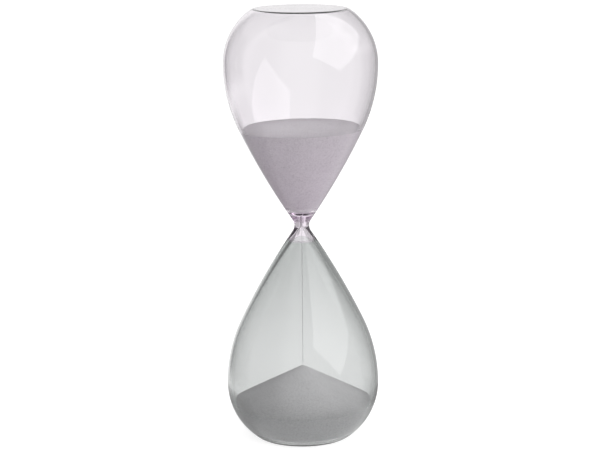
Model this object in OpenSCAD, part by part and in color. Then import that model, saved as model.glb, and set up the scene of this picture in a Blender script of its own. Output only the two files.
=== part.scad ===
// Free-standing hourglass: two blown-glass bulbs joined by a thick throat, with no frame.
// Millimetres, +Z up, origin at the centre of the flat end that it stands on.
// Every glass piece is a slice of one outline with one cavity taken out of it, and the
// sand fills that same cavity, so a change of any size carries through all of them.

/* [Bulbs] */
// Height over the two flat ends
total_h = 215; // [190:1:250]
// Largest outer radius of each bulb
equator_r = 38; // [32:0.5:44]
// Height of that largest radius above the bulb's own flat end
equator_h = 27; // [20:0.5:36]
// Radius of the flat end that the bulb stands on
foot_r = 22.5; // [17:0.5:27]
// Radius of the round edge inside the bulb, where its end meets its side
heel_inner_r = 1; // [0.5:0.1:3]
// Radius of the arc that leads from the equator towards the waist
shoulder_r = 75; // [62:1:90]
// Radius of the long, nearly straight arc along the flank
flank_r = 350; // [220:5:900]

/* [Waist] */
// Outer radius at the narrowest place
waist_r = 3.7; // [3:0.1:6]
// Radius of the hollow curve at the narrowest place
waist_fillet_r = 5; // [3:0.5:8]
// Distance from the waist down to the seam where the two colours of glass are fused
seam_drop = 7.5; // [5:0.5:14]
// Distance from the waist up to the end of the thick throat
throat_rise = 10; // [8.5:0.5:14]

/* [Glass walls] */
// Thickness of the flat ends
end_t = 2; // [1.2:0.1:3.5]
// Thickness at the equator, where the glass is blown thinnest
belly_t = 1.4; // [0.8:0.1:2.2]
// Thickness at the seam, where the glass is gathered
neck_t = 2.7; // [1.8:0.1:3]

/* [Throat] */
// Radius of the bore that meters the sand
bore_r = 0.6; // [0.5:0.05:0.9]
// Distance from the waist up to the mouth of the bore, at the bottom of the bowl
bore_rise = 6; // [3:0.5:7]
// Distance from the waist down to where the bore starts to flare
bore_drop = 0.7; // [0:0.1:2.5]

/* [Filling hole] */
// Radius of the hole that the sand is filled through
hole_r = 2.5; // [1.5:0.1:4]
// Radius of the shallow recess around the hole
recess_r = 9; // [6:0.5:14]
// Depth of that recess at its centre
recess_h = 1.8; // [1.3:0.1:3]
// How far the sealed drop of glass bulges below the roof of the recess
seal_bulge = 0.9; // [0.3:0.1:1]

/* [Sand] */
// Space that the sand leaves at the glass
sand_gap = 0.1; // [0.05:0.05:0.3]
// Level of the upper sand above the waist, where it meets the glass
upper_sand_h = 48.7; // [25:0.1:65]
// How far the middle of the upper sand has sunk
upper_dish_h = 1; // [0.4:0.1:4]
// Height of the top of the lower heap above the foot
heap_h = 35.4; // [27:0.1:48]
// Slope of the lower heap in degrees
heap_slope = 28; // [22:1:34]
// Radius that the top of the heap is rounded to
heap_tip_r = 4; // [2:0.5:8]

/* [Falling sand] */
// Radius of one falling grain
grain_r = 0.3; // [0.2:0.05:0.35]
// Distance from one falling grain to the next, which is also how far the stream moves
grain_pitch = 1.2; // [1:0.1:1.3]
// Clearance of the stream below the upper sand, and above the heap at the end of its travel
stream_clear = 0.3; // [0.2:0.05:0.5]

/* [Hidden] */
$fn = 96;

// Steps along a round stretch of an outline
arc_steps = 14;
// Steps along the side of a bulb, from its equator to the throat
side_steps = 26;
// How far a cutting shape reaches past the face that it opens
past = 1;

waist_z = total_h / 2;
seam_z = waist_z - seam_drop;
throat_top_z = waist_z + throat_rise;
bore_top_z = waist_z + bore_rise;
bore_bottom_z = waist_z - bore_drop;
heel_r = end_t + heel_inner_r;

// The belly arc below the equator runs into the heel arc without a corner.
belly_run = equator_r - foot_r;
belly_rise = equator_h - heel_r;
belly_r = (pow(belly_run, 2) + pow(belly_rise, 2) - pow(heel_r, 2)) / (2 * (belly_run - heel_r));
belly_centre = [equator_r - belly_r, equator_h];
heel_centre = [foot_r, heel_r];
heel_turn = angle_of(heel_centre - belly_centre);
heel_end_z = heel_r + heel_r * sin(heel_turn);

// The shoulder arc, the flank arc and the hollow of the waist touch without a corner.
shoulder_centre = [equator_r - shoulder_r, equator_h];
waist_centre = [waist_r + waist_fillet_r, waist_z];
to_shoulder = shoulder_centre - waist_centre;
arc_change = shoulder_r - flank_r;
shoulder_turn = angle_of(to_shoulder) + acos(
    (pow(flank_r + waist_fillet_r, 2) - pow(norm(to_shoulder), 2) - pow(arc_change, 2))
    / (2 * arc_change * norm(to_shoulder))
);
flank_centre = shoulder_centre + arc_change * [cos(shoulder_turn), sin(shoulder_turn)];
flank_turn = angle_of(waist_centre - flank_centre);
shoulder_end_z = equator_h + shoulder_r * sin(shoulder_turn);
flank_end_z = waist_z - waist_fillet_r * sin(flank_turn);

// The recess under the foot is part of a ball.
recess_ball_r = (pow(recess_r, 2) + pow(recess_h, 2)) / (2 * recess_h);

// The upper sand starts at the mouth of the bore, and its rim lies against the glass.
upper_sand_low_z = bore_top_z + sand_gap;
upper_sand_top_z = waist_z + upper_sand_h;
upper_rim_r = inner_point(total_h - upper_sand_top_z, sand_gap)[0];

// The heap's rounded top is part of a ball, and its slope touches that ball.
heap_ball_z = heap_h - heap_tip_r;
heap_edge_r = heap_tip_r * sin(heap_slope);

// The stream hangs from the upper sand. Its lowest grain can fall by one step to the heap.
first_grain_z = upper_sand_low_z - stream_clear - grain_r;
lowest_grain_z = heap_h + stream_clear + grain_pitch + grain_r;
grain_count = floor((first_grain_z - lowest_grain_z) / grain_pitch) + 1;

// Direction of a vector in degrees
function angle_of(v) = atan2(v[1], v[0]);

// Angle of the outer surface's normal above the horizontal, at height z of the lower half
function tilt(z) =
    z <= heel_end_z ? asin((z - heel_r) / heel_r) :
    z <= equator_h ? asin((z - equator_h) / belly_r) :
    z <= shoulder_end_z ? asin((z - equator_h) / shoulder_r) :
    z <= flank_end_z ? asin((z - flank_centre[1]) / flank_r) :
    asin((waist_z - z) / waist_fillet_r);

// Outer radius at height z of the lower half
function outer_r(z) =
    z <= heel_end_z ? heel_centre[0] + heel_r * cos(tilt(z)) :
    z <= equator_h ? belly_centre[0] + belly_r * cos(tilt(z)) :
    z <= shoulder_end_z ? shoulder_centre[0] + shoulder_r * cos(tilt(z)) :
    z <= flank_end_z ? flank_centre[0] + flank_r * cos(tilt(z)) :
    waist_centre[0] - waist_fillet_r * cos(tilt(z));

// Wall thickness at height z of a bulb: even changes below the equator, and above it the
// glass thickens with the square of the distance to the seam
function wall(z) =
    z <= equator_h ? end_t + (belly_t - end_t) * z / equator_h :
    belly_t + (neck_t - belly_t) * pow((z - equator_h) / (seam_z - equator_h), 2);

// Point of the inner surface that faces height z of the outer one, with more space if asked
function inner_point(z, space = 0) =
    z < equator_h
    ? [outer_r(z) - (wall(z) + space) * cos(tilt(z)), z - (wall(z) + space) * sin(tilt(z))]
    : [outer_r(z) - (wall(z) + space) / cos(tilt(z)), z];

// Heights of an outline's points: along the heel and the belly they are spread by angle,
// along the side up to height top they are even, and at the waist they are spread by angle
foot_heights = concat(
    [for (i = [0 : arc_steps]) heel_r + heel_r * sin(-90 + (90 + heel_turn) * i / arc_steps)],
    [for (i = [1 : arc_steps]) equator_h + belly_r * sin(heel_turn * (1 - i / arc_steps))]
);
function side_heights(top) =
    [for (i = [1 : side_steps]) equator_h + (top - equator_h) * i / side_steps];
waist_heights =
    [for (i = [1 : arc_steps]) waist_z - waist_fillet_r * sin(flank_turn * (1 - i / arc_steps))];

// The points of the lower half as the upper half has them, going on upwards
function flipped(points) =
    [for (i = [len(points) - 1 : -1 : 0]) [points[i][0], total_h - points[i][1]]];

// Outline of the whole glass, from the foot to the upper end
lower_half =
    [for (z = concat(foot_heights, side_heights(flank_end_z), waist_heights)) [outer_r(z), z]];
upper_half = flipped([for (p = lower_half) if (p[1] < waist_z) p]);
outline = concat([[0, 0]], lower_half, upper_half, [[0, total_h]]);

// Quarter of an oval from the mouth of the bore up and out to the brim of the bowl
function bowl(mouth, brim) = [
    for (i = [0 : arc_steps - 1])
        let (a = 90 * i / arc_steps)
        [mouth[0] + (brim[0] - mouth[0]) * sin(a), brim[1] - (brim[1] - mouth[1]) * cos(a)]
];

// Outline of the space inside, kept away from the glass by a space all round: floor, lower
// bulb, flare, bore, bowl and upper bulb
function cavity(space = 0) =
    let (
        foot = [for (z = foot_heights) inner_point(z, space)],
        lower_side = [for (z = side_heights(seam_z)) inner_point(z, space)],
        upper_side = [for (z = side_heights(total_h - throat_top_z)) inner_point(z, space)],
        upper_bulb = flipped(concat(foot, upper_side)),
        mouth = [bore_r - space, bore_top_z + space]
    )
    concat(
        [[0, end_t + space]],
        foot,
        lower_side,
        [[mouth[0], bore_bottom_z]],
        bowl(mouth, upper_bulb[0]),
        upper_bulb,
        [[0, total_h - end_t - space]]
    );

// Height of the recess's roof at radius r
function recess_z(r) = recess_h - recess_ball_r + sqrt(pow(recess_ball_r, 2) - pow(r, 2));

// Height of the lower heap's surface at radius r
function heap_z(r) =
    r <= heap_edge_r
    ? heap_ball_z + sqrt(pow(heap_tip_r, 2) - pow(r, 2))
    : heap_ball_z + heap_tip_r / cos(heap_slope) - r * tan(heap_slope);

// Section of the recess from below the foot up to its roof, or to a roof raised by lift
module recess_section(lift = 0) {
    polygon(concat(
        [[0, -past], [recess_r, -past]],
        [
            for (i = [arc_steps : -1 : 0])
                let (r = recess_r * i / arc_steps)
                [r, recess_z(r) + lift]
        ]
    ));
}

// Section of the glass between two heights, hollow
module glass_section(low, high) {
    difference() {
        intersection() {
            polygon(outline);
            translate([0, low]) square([equator_r + past, high - low]);
        }
        polygon(cavity());
    }
}

module upper_bulb() {
    color([0.93, 0.87, 0.92, 0.4])
        rotate_extrude() glass_section(throat_top_z, total_h);
}

module throat() {
    color([0.88, 0.78, 0.87, 0.5])
        rotate_extrude() glass_section(seam_z, throat_top_z);
}

// The lower bulb has the filling hole in a shallow recess, so the seal clears the table.
module lower_bulb() {
    color([0.55, 0.58, 0.57, 0.4])
        rotate_extrude() difference() {
            union() {
                glass_section(0, seam_z);
                intersection() {
                    recess_section(end_t);
                    square([recess_r, end_t + recess_h]);
                }
            }
            recess_section();
            square([hole_r, end_t + recess_h + past]);
        }
}

// Section of the seal, a drop of glass that is round above and below, with space around it
module seal_section(space = 0) {
    rim_z = recess_z(hole_r);
    polygon(concat(
        [
            for (i = [0 : arc_steps])
                let (a = 90 * i / arc_steps)
                [(hole_r + space) * sin(a), rim_z - (seal_bulge + space) * cos(a)]
        ],
        [
            for (i = [arc_steps : -1 : 0])
                let (a = 90 * i / arc_steps)
                [(hole_r + space) * sin(a), rim_z + end_t + (seal_bulge + space) * cos(a)]
        ]
    ));
}

// The seal is melted into the filling hole, so the two touch all round.
module fill_seal() {
    color([0.45, 0.48, 0.47, 0.6])
        rotate_extrude() seal_section();
}

module sand_upper() {
    color([0.72, 0.68, 0.72])
        rotate_extrude() intersection() {
            polygon(cavity(sand_gap));
            polygon([
                [0, upper_sand_low_z],
                [equator_r, upper_sand_low_z],
                [equator_r, upper_sand_top_z],
                [upper_rim_r, upper_sand_top_z],
                [0, upper_sand_top_z - upper_dish_h]
            ]);
        }
}

// One row of grains from the bottom of the bowl to the top of the heap
module sand_stream() {
    color([0.72, 0.71, 0.72])
        for (i = [0 : grain_count - 1])
            translate([0, 0, first_grain_z - i * grain_pitch]) sphere(r = grain_r, $fn = 24);
}

// The heap rises from the glass at an even slope to a rounded top, over the seal.
module sand_lower() {
    color([0.66, 0.66, 0.67])
        rotate_extrude() difference() {
            intersection() {
                polygon(cavity(sand_gap));
                polygon(concat(
                    [[0, 0], [equator_r, 0], [equator_r, heap_z(equator_r)]],
                    [
                        for (i = [arc_steps : -1 : 0])
                            let (r = heap_edge_r * i / arc_steps)
                            [r, heap_z(r)]
                    ]
                ));
            }
            recess_section(end_t + sand_gap);
            seal_section(sand_gap);
        }
}

upper_bulb();
throat();
lower_bulb();
fill_seal();
sand_upper();
sand_stream();
sand_lower();
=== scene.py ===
"""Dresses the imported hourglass: two tinted glass bulbs, their sand and the grains that fall.

The shapes repeat the sizes of the construction model, in millimetres, and every mesh is
made in metres with its place in its vertices. Each class below makes one sub-assembly.
"""

import logging
import math
import random
from dataclasses import dataclass
from enum import Enum
from typing import Iterable, Sequence

import bpy
from mathutils import Matrix, Vector


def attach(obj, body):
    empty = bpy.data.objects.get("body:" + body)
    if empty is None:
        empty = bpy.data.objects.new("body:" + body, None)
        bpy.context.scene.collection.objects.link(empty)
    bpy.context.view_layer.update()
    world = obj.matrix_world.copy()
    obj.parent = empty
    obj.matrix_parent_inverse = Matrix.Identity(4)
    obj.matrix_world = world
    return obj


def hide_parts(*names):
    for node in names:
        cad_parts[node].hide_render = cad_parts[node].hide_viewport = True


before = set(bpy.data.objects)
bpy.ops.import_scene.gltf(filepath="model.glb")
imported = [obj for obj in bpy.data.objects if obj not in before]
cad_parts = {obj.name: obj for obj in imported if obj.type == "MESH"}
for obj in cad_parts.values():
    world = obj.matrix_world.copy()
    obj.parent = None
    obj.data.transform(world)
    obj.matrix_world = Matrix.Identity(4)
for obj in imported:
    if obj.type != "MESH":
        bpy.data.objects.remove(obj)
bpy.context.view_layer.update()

MM = 0.001
TURN = 2 * math.pi
WELD_MM = 0.002
GLASS_CREASE = 40.0
SAND_CREASE = 30.0
GRAIN_CREASE = 180.0
LOG = logging.getLogger("hourglass")

Point = tuple[float, float]
Colour = tuple[float, float, float]


class Body(Enum):
    """The bodies of the construction model."""

    GLASS = "glass"
    FALLING = "falling_sand"


class Slot(Enum):
    """The material slots of the construction model."""

    PINK = "pink_glass"
    SMOKE = "smoke_glass"
    SAND = "sand"
    FALLING = "falling_sand"


# ---------------------------------------------------------------- shader graphs


class Value:
    """A socket that can be used in Python arithmetic, which adds the Math nodes."""

    def __init__(self, graph: "Graph", socket: bpy.types.NodeSocket) -> None:
        """Keeps the graph that new nodes go into, and the socket."""
        self.graph = graph
        self.socket = socket

    def _math(self, operation: str, *terms: "Value | float") -> "Value":
        """Adds one Math node.

        Args:
            operation: the Math node's operation.
            terms: its inputs, in order.

        Returns:
            The node's result.
        """
        return self.graph.add("ShaderNodeMath", {"operation": operation}, dict(enumerate(terms)))

    def __add__(self, other: "Value | float") -> "Value":
        """self + other."""
        return self._math("ADD", self, other)

    __radd__ = __add__

    def __sub__(self, other: "Value | float") -> "Value":
        """self - other."""
        return self._math("SUBTRACT", self, other)

    def __rsub__(self, other: "Value | float") -> "Value":
        """other - self."""
        return self._math("SUBTRACT", other, self)

    def __mul__(self, other: "Value | float") -> "Value":
        """self * other."""
        return self._math("MULTIPLY", self, other)

    __rmul__ = __mul__

    def __pow__(self, other: "Value | float") -> "Value":
        """self ** other."""
        return self._math("POWER", self, other)

    def angle(self, other: "Value") -> "Value":
        """The angle whose tangent is self / other, all the way round, in radians."""
        return self._math("ARCTAN2", self, other)

    def length(self, other: "Value") -> "Value":
        """The length of the arrow whose two parts are self and other."""
        return (self * self + other * other) ** 0.5

    def arcsine(self) -> "Value":
        """The angle whose sine is self, in radians."""
        return self._math("ARCSINE", self)

    def step(self, low: float, high: float) -> "Value":
        """0 below low, 1 above high, and a smooth ramp between them."""
        return self.graph.add(
            "ShaderNodeMapRange",
            {"interpolation_type": "SMOOTHSTEP"},
            {"Value": self, "From Min": low, "From Max": high},
        )


class Graph:
    """The nodes of one material or of the world."""

    def __init__(self, owner: bpy.types.Material | bpy.types.World) -> None:
        """Turns nodes on for the owner and empties its tree."""
        owner.use_nodes = True
        self.tree = owner.node_tree
        self.tree.nodes.clear()

    def node(
        self, kind: str, settings: dict | None = None, inputs: dict | None = None
    ) -> bpy.types.Node:
        """Adds one node.

        Args:
            kind: the node's type.
            settings: properties of the node, which are set first.
            inputs: a value or a link for each socket, by name or index.

        Returns:
            The new node.
        """
        made = self.tree.nodes.new(kind)
        for key, value in (settings or {}).items():
            setattr(made, key, value)
        for key, value in (inputs or {}).items():
            socket = made.inputs[key]
            if isinstance(value, Value):
                self.tree.links.new(value.socket, socket)
            elif isinstance(value, bpy.types.NodeSocket):
                self.tree.links.new(value, socket)
            elif socket.type == "RGBA":
                socket.default_value = (*value, 1.0)
            else:
                socket.default_value = value
        return made

    def add(
        self,
        kind: str,
        settings: dict | None = None,
        inputs: dict | None = None,
        output: int | str = 0,
    ) -> Value:
        """Adds one node and reads one of its outputs.

        Args:
            kind: the node's type.
            settings: properties of the node, which are set first.
            inputs: a value or a link for each socket, by name or index.
            output: the name or the index of the output.

        Returns:
            That output.
        """
        return Value(self, self.node(kind, settings, inputs).outputs[output])

    def ramp(self, factor: Value, stops: Sequence[tuple[float, Colour]]) -> Value:
        """Adds a colour ramp.

        Args:
            factor: what the ramp reads.
            stops: positions and colours, from low to high.

        Returns:
            The colour.
        """
        made = self.node("ShaderNodeValToRGB", None, {"Fac": factor})
        elements = made.color_ramp.elements
        while len(elements) < len(stops):
            elements.new(1.0)
        for element, (position, colour) in zip(elements, stops):
            element.position = position
            element.color = (*colour, 1.0)
        return Value(self, made.outputs["Color"])

    def noise(self, where: Value, per_metre: float, detail: float) -> Value:
        """Adds a noise texture of the given number of lumps per metre."""
        inputs = {"Vector": where, "Scale": per_metre, "Detail": detail}
        return self.add("ShaderNodeTexNoise", None, inputs)

    def place(self) -> Value:
        """Object coordinates, in metres."""
        return self.add("ShaderNodeTexCoord", output="Object")


# ---------------------------------------------------------------- finishes


@dataclass(frozen=True)
class GlassFinish:
    """Clear blown glass that is tinted all through.

    absorbs is the share of red, green and blue light that a millimetre takes, as an exponent.
    Ripples bend the light a little, and haze is the roughness where the glass is least clean.
    """

    name: str
    absorbs: Colour
    ripple_m: float = 0.000012
    ripples_per_m: float = 55.0
    ripple_detail: float = 1.0
    haze: float = 0.012
    hazes_per_ripple: float = 3.0
    haze_detail: float = 3.0
    haze_edges: tuple[float, float] = (0.45, 0.8)
    index: float = 1.5

    def make(self) -> bpy.types.Material:
        """Builds the material: clear transmission, faint ripples, and a volume that absorbs."""
        material = bpy.data.materials.new(self.name)
        graph = Graph(material)
        place = graph.place()
        ripples = graph.noise(place, self.ripples_per_m, self.ripple_detail)
        hazes_per_m = self.hazes_per_ripple * self.ripples_per_m
        hazy = graph.noise(place, hazes_per_m, self.haze_detail).step(*self.haze_edges)
        bump = graph.node(
            "ShaderNodeBump", None, {"Height": ripples, "Strength": 1.0, "Distance": self.ripple_m}
        )
        surface = graph.node(
            "ShaderNodeBsdfPrincipled",
            None,
            {
                "Base Color": (1.0, 1.0, 1.0),
                "Roughness": hazy * self.haze,
                "IOR": self.index,
                "Transmission Weight": 1.0,
                "Normal": bump.outputs["Normal"],
            },
        )
        thickest = max(self.absorbs)
        volume = graph.node(
            "ShaderNodeVolumeAbsorption",
            None,
            {
                "Color": tuple(1.0 - each / thickest for each in self.absorbs),
                "Density": thickest / MM,
            },
        )
        graph.node(
            "ShaderNodeOutputMaterial",
            None,
            {"Surface": surface.outputs[0], "Volume": volume.outputs[0]},
        )
        return material


@dataclass(frozen=True)
class SandFinish:
    """Fine sieved sand of pale, middle and dark grains."""

    name: str
    dark: Colour
    middle: Colour
    pale: Colour
    grain_mm: float = 0.26
    rough: float = 0.95
    rough_spread: float = 0.15
    gloss: float = 0.3
    drifts_per_m: float = 90.0
    drift_detail: float = 3.0
    drift_share: float = 0.2
    grain_share: float = 0.8
    stops: tuple[float, float, float, float] = (0.05, 0.3, 0.65, 0.95)
    bump: float = 0.3
    bump_grains: float = 0.3

    def make(self) -> bpy.types.Material:
        """Builds the material: a colour for each grain, drifts of tone, and a bump for grains."""
        material = bpy.data.materials.new(self.name)
        graph = Graph(material)
        place = graph.place()
        grains = graph.node(
            "ShaderNodeTexVoronoi", None, {"Vector": place, "Scale": 1.0 / (self.grain_mm * MM)}
        )
        chance = graph.add("ShaderNodeSeparateColor", None, {"Color": grains.outputs["Color"]})
        drift = graph.noise(place, self.drifts_per_m, self.drift_detail)
        tone = graph.ramp(
            chance * self.grain_share + drift * self.drift_share,
            list(zip(self.stops, (self.dark, self.middle, self.middle, self.pale))),
        )
        lift = 1.0 - Value(graph, grains.outputs["Distance"])
        bump = graph.node(
            "ShaderNodeBump",
            None,
            {
                "Height": lift,
                "Strength": self.bump,
                "Distance": self.bump_grains * self.grain_mm * MM,
            },
        )
        surface = graph.node(
            "ShaderNodeBsdfPrincipled",
            None,
            {
                "Base Color": tone,
                "Roughness": self.rough - self.rough_spread * chance,
                "Specular IOR Level": self.gloss,
                "Normal": bump.outputs["Normal"],
            },
        )
        graph.node("ShaderNodeOutputMaterial", None, {"Surface": surface.outputs[0]})
        return material


PINK_GLASS = GlassFinish("pink_blown_glass", absorbs=(0.009, 0.021, 0.0085))
SMOKE_GLASS = GlassFinish("smoke_blown_glass", absorbs=(0.106, 0.099, 0.101))
GREY_SAND = SandFinish(
    "grey_sand", dark=(0.53, 0.515, 0.53), middle=(0.79, 0.77, 0.79), pale=(0.95, 0.94, 0.95)
)


# ---------------------------------------------------------------- making meshes


def only(obj: bpy.types.Object | None) -> None:
    """Deselects everything, and selects the one object if there is one."""
    if bpy.context.mode != "OBJECT":
        bpy.ops.object.mode_set(mode="OBJECT")
    bpy.ops.object.select_all(action="DESELECT")
    if obj is not None:
        obj.select_set(True)
        bpy.context.view_layer.objects.active = obj


def turned(name: str, section: Sequence[Point], steps: int) -> bpy.types.Object:
    """Spins an outline into a closed turned shape, as on a lathe.

    Args:
        name: the new object's name.
        section: radius and height of each point, in millimetres. It starts and ends on the
            axis, or it ends where it starts.
        steps: how many steps a full turn has.

    Returns:
        The new object, with its place in its mesh.
    """
    only(None)
    radius, height = section[0]
    bpy.ops.mesh.primitive_plane_add(size=MM, location=(radius * MM, 0.0, height * MM))
    obj = bpy.context.object
    obj.name = obj.data.name = name
    bpy.ops.object.mode_set(mode="EDIT")
    bpy.ops.mesh.select_mode(type="VERT")
    bpy.ops.mesh.select_all(action="SELECT")
    bpy.ops.mesh.merge(type="CENTER")
    for (r0, z0), (r1, z1) in zip(section, section[1:]):
        bpy.ops.mesh.extrude_vertices_move(
            TRANSFORM_OT_translate={"value": ((r1 - r0) * MM, 0.0, (z1 - z0) * MM)}
        )
    bpy.ops.mesh.select_all(action="SELECT")
    bpy.ops.mesh.spin(steps=steps, angle=TURN, center=(0, 0, 0), axis=(0, 0, 1))
    bpy.ops.mesh.select_all(action="SELECT")
    bpy.ops.mesh.remove_doubles(threshold=WELD_MM * MM)
    bpy.ops.mesh.normals_make_consistent(inside=False)
    only(obj)
    bpy.ops.object.transform_apply(location=True, rotation=True, scale=True)
    return obj


def shade(obj: bpy.types.Object, degrees: float) -> None:
    """Shades a piece smooth, apart from edges sharper than the angle."""
    only(obj)
    bpy.ops.object.shade_smooth_by_angle(angle=math.radians(degrees))


def hand_over(
    obj: bpy.types.Object,
    finish: bpy.types.Material,
    body: Body,
    nodes: Iterable[str],
) -> None:
    """Gives a finished piece its finish and its place in the construction model.

    Args:
        obj: the piece.
        finish: its only material.
        body: the body that carries it.
        nodes: the nodes of the construction model that it stands for.
    """
    obj.data.materials.clear()
    obj.data.materials.append(finish)
    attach(obj, body.value)
    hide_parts(*nodes)
    LOG.info("%s: %d faces on %s", obj.name, len(obj.data.polygons), body.value)


def along(low: float, high: float, count: int) -> list[float]:
    """Evenly spread numbers from low to high, both included."""
    return [low + (high - low) * i / count for i in range(count + 1)]


def arc(centre: Point, radius: float, start: float, end: float, count: int) -> list[Point]:
    """Points along an arc.

    Args:
        centre: radius and height of its centre.
        radius: its own radius.
        start: its first angle, in degrees from the outward direction.
        end: its last angle.
        count: how many steps it has.

    Returns:
        Its points, both ends included.
    """
    turns = [math.radians(a) for a in along(start, end, count)]
    return [(centre[0] + radius * math.cos(a), centre[1] + radius * math.sin(a)) for a in turns]


# ---------------------------------------------------------------- the outline


@dataclass
class Outline:
    """The sizes of the glass, in millimetres, and the curves that they lead to."""

    total_h: float = 215.0
    equator_r: float = 38.0
    equator_h: float = 27.0
    foot_r: float = 22.5
    heel_inner_r: float = 1.0
    shoulder_r: float = 75.0
    flank_r: float = 350.0
    waist_r: float = 3.7
    waist_fillet_r: float = 5.0
    seam_drop: float = 7.5
    end_t: float = 2.0
    belly_t: float = 1.4
    neck_t: float = 2.7
    bore_r: float = 0.6
    bore_rise: float = 6.0
    bore_drop: float = 0.7
    throat_rise: float = 10.0
    hole_r: float = 2.5
    recess_r: float = 9.0
    recess_h: float = 1.8
    seal_bulge: float = 0.9
    heel_steps: int = 18
    belly_steps: int = 40
    side_steps: int = 60
    waist_steps: int = 14
    bowl_steps: int = 20

    def __post_init__(self) -> None:
        """Works out the centres of the arcs and the heights where they meet."""
        self.waist_z = self.total_h / 2
        self.seam_z = self.waist_z - self.seam_drop
        self.throat_top_z = self.waist_z + self.throat_rise
        self.bore_top_z = self.waist_z + self.bore_rise
        self.bore_bottom_z = self.waist_z - self.bore_drop
        self.heel_r = self.end_t + self.heel_inner_r
        run = self.equator_r - self.foot_r
        rise = self.equator_h - self.heel_r
        self.belly_r = (run**2 + rise**2 - self.heel_r**2) / (2 * (run - self.heel_r))
        self.belly_x = self.equator_r - self.belly_r
        self.heel_turn = math.atan2(self.heel_r - self.equator_h, self.foot_r - self.belly_x)
        self.heel_end_z = self.heel_r + self.heel_r * math.sin(self.heel_turn)
        self.shoulder_x = self.equator_r - self.shoulder_r
        self.waist_x = self.waist_r + self.waist_fillet_r
        away = Vector((self.shoulder_x - self.waist_x, self.equator_h - self.waist_z))
        change = self.shoulder_r - self.flank_r
        reach = self.flank_r + self.waist_fillet_r
        turn = math.atan2(away.y, away.x) + math.acos(
            (reach**2 - away.length_squared - change**2) / (2 * change * away.length)
        )
        self.flank_x = self.shoulder_x + change * math.cos(turn)
        self.flank_y = self.equator_h + change * math.sin(turn)
        self.flank_turn = math.atan2(self.waist_z - self.flank_y, self.waist_x - self.flank_x)
        self.shoulder_end_z = self.equator_h + self.shoulder_r * math.sin(turn)
        self.flank_end_z = self.waist_z - self.waist_fillet_r * math.sin(self.flank_turn)
        self.recess_ball_r = (self.recess_r**2 + self.recess_h**2) / (2 * self.recess_h)

    def tilt(self, z: float) -> float:
        """Angle of the outer surface above the horizontal at height z of the lower half."""
        if z <= self.heel_end_z:
            return math.asin(max(-1.0, (z - self.heel_r) / self.heel_r))
        if z <= self.equator_h:
            return math.asin((z - self.equator_h) / self.belly_r)
        if z <= self.shoulder_end_z:
            return math.asin((z - self.equator_h) / self.shoulder_r)
        if z <= self.flank_end_z:
            return math.asin((z - self.flank_y) / self.flank_r)
        return math.asin((self.waist_z - z) / self.waist_fillet_r)

    def outer_r(self, z: float) -> float:
        """Outer radius at height z of the lower half."""
        lean = math.cos(self.tilt(z))
        if z <= self.heel_end_z:
            return self.foot_r + self.heel_r * lean
        if z <= self.equator_h:
            return self.belly_x + self.belly_r * lean
        if z <= self.shoulder_end_z:
            return self.shoulder_x + self.shoulder_r * lean
        if z <= self.flank_end_z:
            return self.flank_x + self.flank_r * lean
        return self.waist_x - self.waist_fillet_r * lean

    def wall(self, z: float) -> float:
        """Thickness of the glass at height z of the lower half."""
        if z <= self.equator_h:
            return self.end_t + (self.belly_t - self.end_t) * z / self.equator_h
        share = (z - self.equator_h) / (self.seam_z - self.equator_h)
        return self.belly_t + (self.neck_t - self.belly_t) * share**2

    def inner(self, z: float, space: float = 0.0) -> Point:
        """Point of the inner surface that faces height z of the outer one, space further in."""
        lean, depth = self.tilt(z), self.wall(z) + space
        if z < self.equator_h:
            return self.outer_r(z) - depth * math.cos(lean), z - depth * math.sin(lean)
        return self.outer_r(z) - depth / math.cos(lean), z

    def foot_heights(self) -> list[float]:
        """Heights from the foot to the equator, spread by angle along the heel and belly."""
        heel_deg = math.degrees(self.heel_turn)
        heel_arc = arc((0, self.heel_r), self.heel_r, -90, heel_deg, self.heel_steps)
        belly_arc = arc((0, self.equator_h), self.belly_r, heel_deg, 0, self.belly_steps)
        return [0.0] + [z for _, z in heel_arc[1:] + belly_arc[1:]]

    def side_heights(self, top: float) -> list[float]:
        """Heights from the equator up to top, even along the side."""
        return along(self.equator_h, top, self.side_steps)[1:]

    def waist_heights(self) -> list[float]:
        """Heights along the hollow of the waist, spread by angle."""
        turns = along(math.degrees(self.flank_turn), 0, self.waist_steps)[1:]
        return [self.waist_z - self.waist_fillet_r * math.sin(math.radians(a)) for a in turns]

    def lower_outside(self, top: float) -> list[Point]:
        """The outer surface of the lower half, from the foot up to height top."""
        heights = self.foot_heights() + self.side_heights(min(top, self.flank_end_z))
        if top > self.flank_end_z:
            heights += self.waist_heights()
        return [(self.outer_r(z), z) for z in heights]

    def flipped(self, points: Sequence[Point]) -> list[Point]:
        """The points of the lower half as the upper half has them, going on upwards."""
        return [(r, self.total_h - z) for r, z in reversed(points)]

    def throat(self, space: float = 0.0) -> list[Point]:
        """The bore and the bowl, from where the flare ends to the brim of the bowl."""
        mouth = (self.bore_r - space, self.bore_top_z + space)
        brim_r, brim_z = self.inner(self.total_h - self.throat_top_z, space)
        brim = (brim_r, self.total_h - brim_z)
        bowl = [
            (
                mouth[0] + (brim[0] - mouth[0]) * math.sin(math.radians(a)),
                brim[1] - (brim[1] - mouth[1]) * math.cos(math.radians(a)),
            )
            for a in along(0, 90, self.bowl_steps)
        ]
        return [(mouth[0], self.bore_bottom_z), *bowl[:-1]]

    def upper_inside(self, space: float = 0.0) -> list[Point]:
        """The inside of the upper bulb, from the brim of the bowl to the edge of its end."""
        heights = self.foot_heights() + self.side_heights(self.total_h - self.throat_top_z)
        return self.flipped([self.inner(z, space) for z in heights])

    def lower_inside(self, space: float = 0.0) -> list[Point]:
        """The inside of the lower bulb, from the edge of its floor to the seam."""
        heights = self.foot_heights() + self.side_heights(self.seam_z)
        return [self.inner(z, space) for z in heights]

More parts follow.
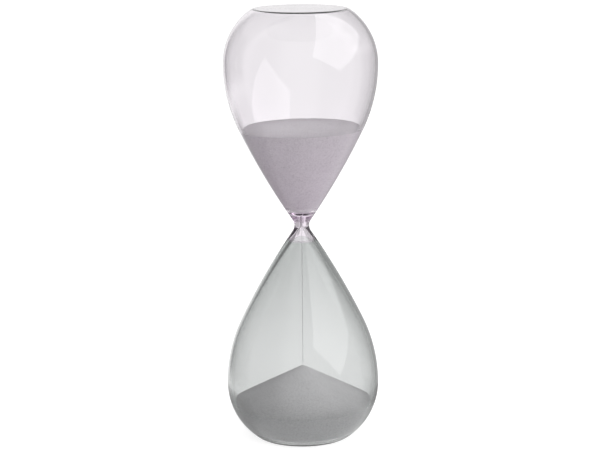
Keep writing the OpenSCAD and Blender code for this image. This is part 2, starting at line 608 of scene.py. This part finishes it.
    def recess_z(self, r: float) -> float:
        """Height of the recess's roof at radius r."""
        ball = self.recess_ball_r
        return self.recess_h - ball + math.sqrt(ball**2 - r**2)


# ---------------------------------------------------------------- glass


@dataclass
class UpperGlass:
    """The pink bulb and the thick throat that it runs into, one piece of blown glass."""

    outline: Outline
    steps: int = 208
    edge_steps: int = 6
    name: str = "pink_bulb_and_throat"

    def build(self) -> bpy.types.Object:
        """Turns the bulb, from the middle of its end down to the seam and back up inside."""
        shape = self.outline
        outside = shape.lower_outside(shape.waist_z)
        down = list(reversed(shape.flipped(outside)))
        inner_r, _ = shape.inner(shape.seam_z)
        section = [(0.0, shape.total_h), *down, *self._below_waist(), (inner_r, shape.seam_z)]
        section += [*shape.throat(), *shape.upper_inside(), (0.0, shape.total_h - shape.end_t)]
        obj = turned(self.name, section, self.steps)
        shade(obj, GLASS_CREASE)
        return obj

    def _below_waist(self) -> list[Point]:
        """The outer surface from just below the waist down to the seam."""
        shape = self.outline
        waist = [(shape.outer_r(z), z) for z in reversed(shape.waist_heights()[:-1])]
        heights = along(shape.flank_end_z, shape.seam_z, self.edge_steps)
        return waist + [(shape.outer_r(z), z) for z in heights]

    def dress(self, obj: bpy.types.Object) -> None:
        """Gives the bulb its pink glass."""
        hand_over(obj, PINK_GLASS.make(), Body.GLASS, ("upper_bulb", "throat"))


@dataclass
class LowerGlass:
    """The smoke bulb, with the filling hole in a shallow recess under its foot."""

    outline: Outline
    steps: int = 208
    seam_overlap: float = 0.01
    recess_steps: int = 26
    name: str = "smoke_bulb"

    def build(self) -> bpy.types.Object:
        """Turns the bulb: recess, foot, side, seam, inside, dome and hole."""
        shape = self.outline
        radii = along(shape.hole_r, shape.recess_r, self.recess_steps)
        roof = [(r, shape.recess_z(r)) for r in radii]
        outside = shape.lower_outside(shape.seam_z)
        inside = list(reversed(shape.lower_inside()))
        back = along(shape.recess_r, shape.hole_r, self.recess_steps)
        dome = [(r, shape.recess_z(r) + shape.end_t) for r in back]
        top = shape.seam_z + self.seam_overlap
        section = roof + outside[:-1] + [(outside[-1][0], top), (inside[0][0], top)] + inside[1:]
        section += dome + [roof[0]]
        obj = turned(self.name, section, self.steps)
        shade(obj, GLASS_CREASE)
        return obj

    def dress(self, obj: bpy.types.Object) -> None:
        """Gives the bulb its smoke glass."""
        hand_over(obj, SMOKE_GLASS.make(), Body.GLASS, ("lower_bulb",))


@dataclass
class FillSeal:
    """The drop of glass that was melted into the filling hole."""

    outline: Outline
    steps: int = 48
    round_steps: int = 12
    clearance: float = 0.02
    name: str = "fill_seal_drop"

    def build(self) -> bpy.types.Object:
        """Turns the drop, round above and below."""
        shape = self.outline
        radius = shape.hole_r - self.clearance
        rim = shape.recess_z(shape.hole_r)
        below = [
            (radius * math.sin(a), rim - shape.seal_bulge * math.cos(a))
            for a in along(0, math.pi / 2, self.round_steps)
        ]
        above = [
            (radius * math.sin(a), rim + shape.end_t + shape.seal_bulge * math.cos(a))
            for a in along(math.pi / 2, 0, self.round_steps)
        ]
        below[0] = (0.0, below[0][1])
        above[-1] = (0.0, above[-1][1])
        obj = turned(self.name, below + above, self.steps)
        shade(obj, GLASS_CREASE)
        return obj

    def dress(self, obj: bpy.types.Object) -> None:
        """Gives the drop the smoke glass."""
        hand_over(obj, SMOKE_GLASS.make(), Body.GLASS, ("fill_seal",))


# ---------------------------------------------------------------- sand


@dataclass
class UpperSand:
    """The sand that is still in the pink bulb, with the thread of sand in the bore.

    Below zero, space lets the sand reach into the glass, so that no film of air shows.
    """

    outline: Outline
    space: float = -0.03
    throat_space: float = 0.16
    level_h: float = 48.7
    dish: float = 1.0
    lean: float = 1.0
    lean_towards: float = 190.0
    spare_h: float = 4.0
    weld: float = 0.02
    rings: int = 16
    steps: int = 160
    name: str = "upper_sand"

    def build(self) -> bpy.types.Object:
        """Turns the sand too high, cuts its level with a leaning plane and sinks the middle."""
        shape = self.outline
        level = shape.waist_z + self.level_h
        side = [p for p in shape.upper_inside(self.space) if p[1] < level + self.spare_h]
        section = [(0.0, shape.bore_bottom_z)] + shape.throat(self.throat_space) + side
        section += [(0.0, side[-1][1])]
        obj = turned(self.name, section, self.steps)
        bpy.ops.object.mode_set(mode="EDIT")
        bpy.ops.mesh.select_all(action="SELECT")
        towards = math.radians(self.lean_towards)
        lean = math.radians(self.lean)
        tip = math.sin(lean)
        up = Vector((tip * math.cos(towards), tip * math.sin(towards), math.cos(lean)))
        bpy.ops.mesh.bisect(
            plane_co=(0, 0, level * MM), plane_no=up, use_fill=True, clear_outer=True
        )
        bpy.ops.mesh.select_all(action="SELECT")
        bpy.ops.mesh.remove_doubles(threshold=self.weld * MM)
        bpy.ops.mesh.select_mode(type="FACE")
        bpy.ops.mesh.select_all(action="DESELECT")
        bpy.ops.object.mode_set(mode="OBJECT")
        for face in obj.data.polygons:
            face.select = len(face.vertices) > self.steps // 2
        bpy.ops.object.mode_set(mode="EDIT")
        centre = (0, 0, level * MM)
        for i in range(self.rings, 1, -1):
            sink = self.dish * (self.sunk((i - 1) / self.rings) - self.sunk(i / self.rings))
            bpy.ops.mesh.extrude_region_move(
                TRANSFORM_OT_translate={"value": (0, 0, -sink * MM)}
            )
            shrink = (i - 1) / i
            bpy.ops.transform.resize(value=(shrink, shrink, 1), center_override=centre)
        bpy.ops.mesh.merge(type="COLLAPSE")
        only(obj)
        shade(obj, SAND_CREASE)
        return obj

    @staticmethod
    def sunk(share: float) -> float:
        """How far the level has sunk at a share of its radius, from 1 in the middle to 0."""
        return 0.5 + 0.5 * math.cos(math.pi * share)

    def dress(self, obj: bpy.types.Object) -> None:
        """Gives the sand its finish."""
        hand_over(obj, GREY_SAND.make(), Body.GLASS, ("sand_upper",))


@dataclass
class LowerSand:
    """The heap in the smoke bulb.

    joint_h is the height above the heel that its side takes to change from one space to the other.
    """

    outline: Outline
    space: float = -0.03
    floor_space: float = 0.1
    joint_h: float = 1.5
    heap_h: float = 35.4
    slope: float = 28.0
    tip_r: float = 4.0
    steps: int = 160
    top_steps: int = 44
    dome_steps: int = 10
    drop_steps: int = 8
    rim_guess: float = 0.2
    rim_tries: int = 40
    name: str = "lower_sand"

    def heap_z(self, r: float) -> float:
        """Height of the heap's surface at radius r."""
        slope = math.radians(self.slope)
        ball_z = self.heap_h - self.tip_r
        if r <= self.tip_r * math.sin(slope):
            return ball_z + math.sqrt(self.tip_r**2 - r**2)
        return ball_z + self.tip_r / math.cos(slope) - r * math.tan(slope)

    def build(self) -> bpy.types.Object:
        """Turns the heap: its slope, its side against the glass, and its base over the dome."""
        shape = self.outline
        side = [p for p in shape.lower_inside(self.floor_space) if p[1] < shape.heel_r]
        side += [
            p
            for p in shape.lower_inside(self.space)
            if shape.heel_r + self.joint_h < p[1] < self.heap_z(p[0])
        ]
        rim_r = side[-1][0] + self.rim_guess
        for _ in range(self.rim_tries):
            rim_r = self._inner_r(self.heap_z(rim_r))
        top = [(r, self.heap_z(r)) for r in along(0.0, rim_r, self.top_steps)]
        lift = shape.end_t + self.floor_space
        radii = along(shape.recess_r, shape.hole_r, self.dome_steps)
        dome = [(r, shape.recess_z(r) + lift) for r in radii]
        rim_z = shape.recess_z(shape.hole_r) + lift
        drop = [
            (shape.hole_r * math.sin(a), rim_z + shape.seal_bulge * math.cos(a))
            for a in along(math.pi / 2, 0, self.drop_steps)[1:]
        ]
        drop[-1] = (0.0, drop[-1][1])
        obj = turned(self.name, top + list(reversed(side)) + dome + drop, self.steps)
        shade(obj, SAND_CREASE)
        return obj

    def _inner_r(self, z: float) -> float:
        """Radius of the glass's inner surface at height z, below the equator or above it."""
        points = self.outline.lower_inside(self.space)
        for (r0, z0), (r1, z1) in zip(points, points[1:]):
            if z0 <= z <= z1:
                return r0 + (r1 - r0) * (z - z0) / (z1 - z0)
        return points[0][0]

    def dress(self, obj: bpy.types.Object) -> None:
        """Gives the sand its finish."""
        hand_over(obj, GREY_SAND.make(), Body.GLASS, ("sand_lower",))


@dataclass
class FallingSand:
    """The thread of loose grains between the bore and the heap.

    Its first grains lie inside the thread of sand in the bore, overlap steps of them.
    """

    outline: Outline
    heap_h: float = 35.4
    pitch: float = 1.2
    clear: float = 0.3
    overlap: int = 2
    thread_r: float = 0.22
    grain_r: float = 0.1
    grain_sizes: tuple[float, float] = (0.8, 1.15)
    grain_places: tuple[float, float] = (0.1, 0.9)
    grain_turns: tuple[float, float] = (0, 3)
    per_step: int = 16
    seed: int = 11
    name: str = "falling_grains"

    def build(self) -> bpy.types.Object:
        """Makes one step's grains, joins them, and repeats the step down to the heap."""
        shape = self.outline
        low = self.heap_h + self.clear + self.pitch
        top = shape.bore_bottom_z + self.overlap * self.pitch
        count = int((top - low) / self.pitch)
        chance = random.Random(self.seed)
        grains = []
        only(None)
        for i in range(self.per_step):
            turn = chance.uniform(0, TURN)
            away = self.thread_r * math.sqrt(chance.random())
            height = low + self.pitch * (i + chance.uniform(*self.grain_places)) / self.per_step
            bpy.ops.mesh.primitive_ico_sphere_add(
                subdivisions=1,
                radius=self.grain_r * chance.uniform(*self.grain_sizes) * MM,
                location=(away * math.cos(turn) * MM, away * math.sin(turn) * MM, height * MM),
                rotation=(
                    chance.uniform(*self.grain_turns),
                    chance.uniform(*self.grain_turns),
                    0,
                ),
            )
            grains.append(bpy.context.object)
        only(grains[0])
        for grain in grains:
            grain.select_set(True)
        bpy.ops.object.join()
        obj = bpy.context.object
        obj.name = obj.data.name = self.name
        bpy.ops.object.transform_apply(location=True, rotation=True, scale=True)
        repeat = obj.modifiers.new("steps", "ARRAY")
        repeat.count = count
        repeat.use_relative_offset = False
        repeat.use_constant_offset = True
        repeat.constant_offset_displace = (0, 0, self.pitch * MM)
        bpy.ops.object.modifier_apply(modifier=repeat.name)
        shade(obj, GRAIN_CREASE)
        return obj

    def dress(self, obj: bpy.types.Object) -> None:
        """Gives the grains the sand's finish."""
        hand_over(obj, GREY_SAND.make(), Body.FALLING, ("sand_stream",))


# ---------------------------------------------------------------- studio


@dataclass(frozen=True)
class SoftBox:
    """An even rectangle of light: its middle, its two directions, its size and its radiance.

    It shines away from the direction across x up, and a radiance of 1 is white.
    """

    at: tuple[float, float, float]
    across: tuple[float, float, float]
    up: tuple[float, float, float]
    size: Point
    radiance: float


@dataclass(frozen=True)
class Panel:
    """A stretch of the studio's surroundings that is lighter or darker than the rest.

    Its azimuths are degrees to the right of the view, its heights degrees above the horizon.
    """

    left: float
    right: float
    low: float
    high: float
    level: float
    soft: float = 5.0
    fade: float = 5.0

    def mask(self, azimuth: Value, height: Value) -> Value:
        """1 inside the panel, 0 outside; its sides are soft edges and its top and bottom fade."""
        inside = height.step(self.low - self.fade, self.low + self.fade)
        inside = inside * (1 - height.step(self.high - self.fade, self.high + self.fade))
        inside = inside * azimuth.step(self.left - self.soft, self.left + self.soft)
        return inside * (1 - azimuth.step(self.right - self.soft, self.right + self.soft))


SURROUNDINGS = (
    # Ceiling, all the way round
    Panel(left=-400, right=400, low=70, high=120, level=0.75, fade=12),
    # Left-hand wall
    Panel(left=-146, right=-92, low=-40, high=45, level=0.52, soft=14, fade=10),
    # Table to the left
    Panel(left=-91, right=-9, low=-47, high=-19, level=0.45, soft=6),
    # Dark flag to the left
    Panel(left=-88, right=-26, low=-13, high=80, level=0.31, soft=8),
    # Dark flag to the right
    Panel(left=9, right=75, low=-30, high=80, level=0.5, soft=7),
    # Paper on the table
    Panel(left=-9, right=9, low=-60, high=-11, level=1.0, soft=4, fade=4),
    # Paper on the wall
    Panel(left=-9, right=9, low=-11, high=48, level=0.88, soft=4, fade=4),
)


@dataclass
class Studio:
    """The floor, the light and the camera, in metres and degrees.

    Only the floor near the foot, within the two radii of floor_near, is there for other rays
    than the camera's. room is the level of the surroundings where no panel stands.
    """

    floor_size: float = 9.0
    floor_colour: Colour = (0.5, 0.5, 0.5)
    floor_lift: float = 0.8
    floor_near: tuple[float, float] = (0.018, 0.028)
    camera_at: tuple[float, float, float] = (0.0, -0.9363, 0.2989)
    camera_pitch: float = 11.552
    camera_roll: float = -0.457
    camera_lens: float = 115.434
    camera_shift: float = -0.0029
    camera_sensor: float = 36.0
    camera_range: tuple[float, float] = (0.01, 50.0)
    bounces: int = 40
    room: float = 1.0
    key: SoftBox = SoftBox(
        at=(0.697, -0.184, 0.667),
        across=(0.811, 0.333, -0.54),
        up=(-0.096, 1.397, 0.72),
        size=(1.03, 1.57),
        radiance=1.1,
    )

    def build(self) -> None:
        """Sets the stage and the view."""
        self.floor()
        self.world()
        self.lamp("key", self.key)
        self.camera()
        scene = bpy.context.scene
        scene.view_settings.view_transform = "Standard"
        scene.cycles.max_bounces = scene.cycles.transmission_bounces = self.bounces

    def floor(self) -> None:
        """A pale floor that the camera sees from above, lifted to white, with its shadow."""
        only(None)
        bpy.ops.mesh.primitive_plane_add(size=self.floor_size, location=(0, 0, 0))
        floor = bpy.context.object
        floor.name = floor.data.name = "studio_floor"
        material = bpy.data.materials.new("studio_floor")
        graph = Graph(material)
        above = 1 - graph.add("ShaderNodeNewGeometry", output="Backfacing")
        seen = graph.add("ShaderNodeLightPath", output="Is Camera Ray")
        parts = graph.node("ShaderNodeSeparateXYZ", None, {0: graph.place()})
        x, y, _ = (Value(graph, socket) for socket in parts.outputs)
        near = 1 - x.length(y).step(*self.floor_near)
        matt = graph.node("ShaderNodeBsdfDiffuse", None, {"Color": self.floor_colour})
        lift = graph.node(
            "ShaderNodeEmission",
            None,
            {"Color": (1.0, 1.0, 1.0), "Strength": seen * self.floor_lift},
        )
        lifted = graph.node("ShaderNodeAddShader", None, {0: matt.outputs[0], 1: lift.outputs[0]})
        clear = graph.node("ShaderNodeBsdfTransparent")
        both = graph.node(
            "ShaderNodeMixShader",
            None,
            {0: (seen + near - seen * near) * above, 1: clear.outputs[0], 2: lifted.outputs[0]},
        )
        graph.node("ShaderNodeOutputMaterial", None, {"Surface": both.outputs[0]})
        floor.data.materials.append(material)

    def world(self) -> None:
        """White to look at; as light, the room with its panels."""
        world = bpy.data.worlds.new("studio")
        bpy.context.scene.world = world
        graph = Graph(world)
        towards = graph.add("ShaderNodeTexCoord", output="Generated")
        parts = graph.node("ShaderNodeSeparateXYZ", None, {0: towards})
        x, y, z = (Value(graph, socket) for socket in parts.outputs)
        azimuth = x.angle(y) * math.degrees(1)
        height = z.arcsine() * math.degrees(1)
        level: Value | float = self.room
        for panel in SURROUNDINGS:
            mask = panel.mask(azimuth, height)
            level = mask * panel.level + (1 - mask) * level
        seen = graph.add("ShaderNodeLightPath", output="Is Camera Ray")
        level = level * (1 - seen) + seen
        sky = graph.node(
            "ShaderNodeBackground", None, {"Color": (1.0, 1.0, 1.0), "Strength": level}
        )
        graph.node("ShaderNodeOutputWorld", None, {"Surface": sky.outputs[0]})

    def lamp(self, name: str, box: SoftBox) -> None:
        """Adds one soft box as an area lamp.

        Args:
            name: the lamp's name.
            box: where it hangs, and how large and bright it is.
        """
        data = bpy.data.lights.new(name, "AREA")
        data.shape = "RECTANGLE"
        data.size, data.size_y = box.size
        data.energy = box.radiance * math.pi * box.size[0] * box.size[1]
        lamp = bpy.data.objects.new(name, data)
        bpy.context.scene.collection.objects.link(lamp)
        across = Vector(box.across).normalized()
        up = Vector(box.up)
        up = (up - across * up.dot(across)).normalized()
        turn = Matrix((across, up, across.cross(up))).transposed().to_4x4()
        lamp.matrix_world = Matrix.Translation(box.at) @ turn

    def camera(self) -> None:
        """Adds the camera at the height and tilt of the view."""
        data = bpy.data.cameras.new("camera")
        data.lens = self.camera_lens
        data.sensor_width = self.camera_sensor
        data.shift_x = self.camera_shift
        data.clip_start, data.clip_end = self.camera_range
        camera = bpy.data.objects.new("camera", data)
        bpy.context.scene.collection.objects.link(camera)
        camera.location = self.camera_at
        tilt = Matrix.Rotation(math.radians(90 - self.camera_pitch), 3, "X")
        roll = Matrix.Rotation(math.radians(self.camera_roll), 3, "Z")
        camera.rotation_euler = (tilt @ roll).to_euler()
        bpy.context.scene.camera = camera


def main() -> None:
    """Builds and dresses the sub-assemblies in order, then sets the studio."""
    logging.basicConfig(level=logging.INFO, format="%(message)s")
    outline = Outline()
    thin_end = Outline(end_t=1.2, heel_inner_r=1.8)
    for part in (
        UpperGlass(thin_end),
        LowerGlass(outline),
        FillSeal(outline),
        UpperSand(thin_end),
        LowerSand(outline),
        FallingSand(outline),
    ):
        part.dress(part.build())
    Studio().build()


if __name__ == "__main__":
    main()
